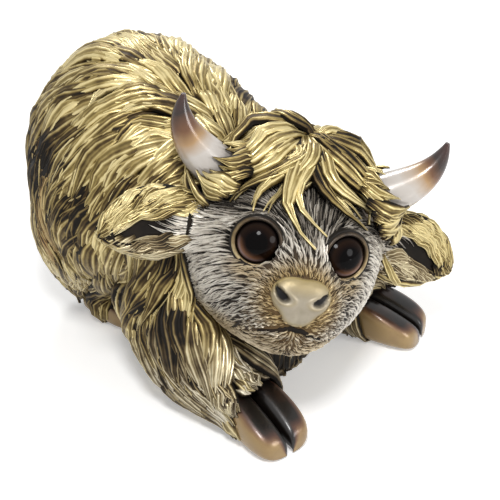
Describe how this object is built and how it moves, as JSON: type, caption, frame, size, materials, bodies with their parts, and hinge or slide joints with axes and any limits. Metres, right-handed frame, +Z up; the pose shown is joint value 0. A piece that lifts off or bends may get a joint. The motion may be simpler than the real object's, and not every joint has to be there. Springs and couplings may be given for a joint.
{
  "type": "cow figurine",
  "caption": "Resin figurine of a long-haired horned calf bowing on its forelegs, with its head turned and tilted.",
  "frame": {"origin": "on the ground at the middle of the base felt under the brisket", "axes": "+Z up, -Y the way the body faces, +X the calf's left"},
  "size_m": [0.1387, 0.1943, 0.1453],
  "materials": {
    "coat": "satin",
    "face": "satin",
    "eye_glass": "gloss",
    "nose": "satin",
    "horn": "satin",
    "hoof": "satin",
    "plug": "matte",
    "felt": "matte"
  },
  "bodies": {
    "root": {"torso_shell": "coat", "head_shell": "face", "forelock": "coat", "right_foreleg": "coat", "left_foreleg": "coat", "right_hind_leg": "coat", "left_hind_leg": "coat", "right_ear": "coat", "left_ear": "coat", "tail": "coat", "right_eye": "eye_glass", "left_eye": "eye_glass", "nose_pad": "nose", "right_horn": "horn", "left_horn": "horn", "right_fore_hoof": "hoof", "left_fore_hoof": "hoof", "right_hind_hoof": "hoof", "left_hind_hoof": "hoof", "base_plug": "plug", "base_felt": "felt", "hoof_felts": "felt"}
  },
  "joints": []
}
